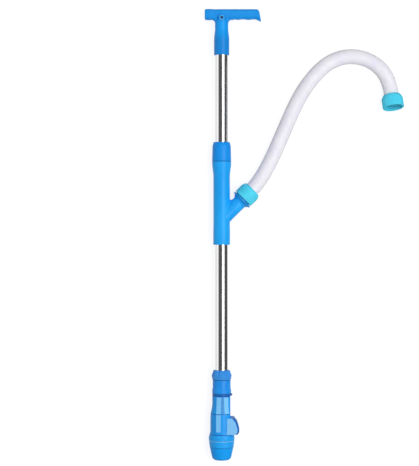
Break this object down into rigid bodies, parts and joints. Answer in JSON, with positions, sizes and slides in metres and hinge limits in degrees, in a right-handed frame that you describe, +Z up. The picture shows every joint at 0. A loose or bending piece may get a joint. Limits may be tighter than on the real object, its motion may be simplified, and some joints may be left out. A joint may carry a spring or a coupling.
{
  "type": "hand pump water filter",
  "caption": "Hand lift pump with a T-handle, steel tubes, a Y-shaped outlet with a flexible hose and union nuts, and a sectioned plastic foot that holds a filter.",
  "frame": {"origin": "centre of the intake hole in the flat end of the foot's nose, on the pump axis", "axes": "+Y along the pump axis towards the T-handle, +X towards the hose branch and the side hood, +Z up from the floor that the pump lies on"},
  "size_m": [0.4294, 0.9707, 0.056],
  "materials": {
    "handle_blue": "glossy moulded plastic",
    "body_blue": "glossy moulded plastic",
    "foot_blue": "satin moulded plastic",
    "cyan": "pale moulded plastic",
    "steel": "polished tube",
    "fastener_steel": "plain",
    "hose_plastic": "milky flexible hose",
    "white_plastic": "moulded",
    "seal_rubber": "soft",
    "button_dark": "moulded",
    "filter_media": "porous"
  },
  "bodies": {
    "root": {"y_body": "body_blue", "upper_tube": "steel", "barrel": "steel", "rod_bushing": "white_plastic", "rod_seal_carrier": "white_plastic", "rod_seal": "seal_rubber", "compression_ring": "white_plastic", "gland_o_ring": "seal_rubber", "barrel_o_ring": "seal_rubber", "branch_tail": "white_plastic", "branch_washer": "seal_rubber", "hose": "hose_plastic", "end_tail": "white_plastic", "end_washer": "seal_rubber", "foot_socket": "foot_blue", "foot_o_ring": "seal_rubber", "spigot_o_ring": "seal_rubber", "bayonet_ring": "foot_blue", "foot_valve_seat": "white_plastic", "filter_housing": "foot_blue", "flap_pin": "fastener_steel", "cartridge_top_cap": "white_plastic", "cartridge_o_ring": "seal_rubber", "filter_cartridge": "filter_media", "cartridge_bottom_cap": "white_plastic", "foot_ring": "foot_blue"},
    "plunger": {"t_handle": "handle_blue", "handle_screw": "fastener_steel", "handle_nut": "fastener_steel", "plunger_rod": "steel", "piston_head": "white_plastic", "piston_cup_seal": "seal_rubber", "piston_washer": "fastener_steel", "piston_nut": "fastener_steel", "valve_stop_collar": "fastener_steel"},
    "piston_valve": {"piston_valve_disc": "seal_rubber"},
    "gland_nut": {"gland_nut": "body_blue"},
    "branch_nut": {"branch_nut": "cyan"},
    "end_nut": {"end_nut": "cyan"},
    "foot_collar": {"foot_collar": "foot_blue"},
    "latch": {"latch_button": "button_dark"},
    "foot_valve": {"foot_valve_poppet": "seal_rubber"},
    "flush_flap": {"flush_flap": "foot_blue"},
    "nose": {"nose_collar": "foot_blue", "intake_nose": "foot_blue", "intake_screen": "fastener_steel", "nose_gasket": "seal_rubber"}
  },
  "joints": [
    {"name": "plunger_stroke", "type": "slide", "parent": "root", "child": "plunger", "axis": [0, 1, 0], "range_m": [0, 0.24]},
    {"name": "piston_valve_lift", "type": "slide", "parent": "plunger", "child": "piston_valve", "axis": [0, 1, 0], "range_m": [0, 0.003]},
    {"name": "gland_nut_turn", "type": "hinge", "parent": "root", "child": "gland_nut", "pos_m": [0, 0.66, 0], "axis": [0, 1, 0], "continuous": true},
    {"name": "branch_nut_turn", "type": "hinge", "parent": "root", "child": "branch_nut", "pos_m": [0.05976, 0.57626, 0], "axis": [0.7071, 0.7071, 0], "continuous": true},
    {"name": "end_nut_turn", "type": "hinge", "parent": "root", "child": "end_nut", "pos_m": [0.368, 0.7769, -0.0047], "axis": [0.1071, -0.9597, 0.26], "continuous": true},
    {"name": "foot_collar_turn", "type": "hinge", "parent": "root", "child": "foot_collar", "pos_m": [0, 0.184, 0], "axis": [0, 1, 0], "continuous": true},
    {"name": "latch_press", "type": "slide", "parent": "root", "child": "latch", "axis": [-1, 0, 0], "range_m": [0, 0.0012], "stiffness_N_per_m": 800},
    {"name": "foot_valve_lift", "type": "slide", "parent": "root", "child": "foot_valve", "axis": [0, 1, 0], "range_m": [0, 0.004]},
    {"name": "flush_flap_swing", "type": "hinge", "parent": "root", "child": "flush_flap", "pos_m": [0.0318, 0.0594, 0], "axis": [0, 0, 1], "range_deg": [0, 60]},
    {"name": "nose_turn", "type": "hinge", "parent": "root", "child": "nose", "pos_m": [0, 0.02, 0], "axis": [0, 1, 0], "range_deg": [0, 90]}
  ]
}
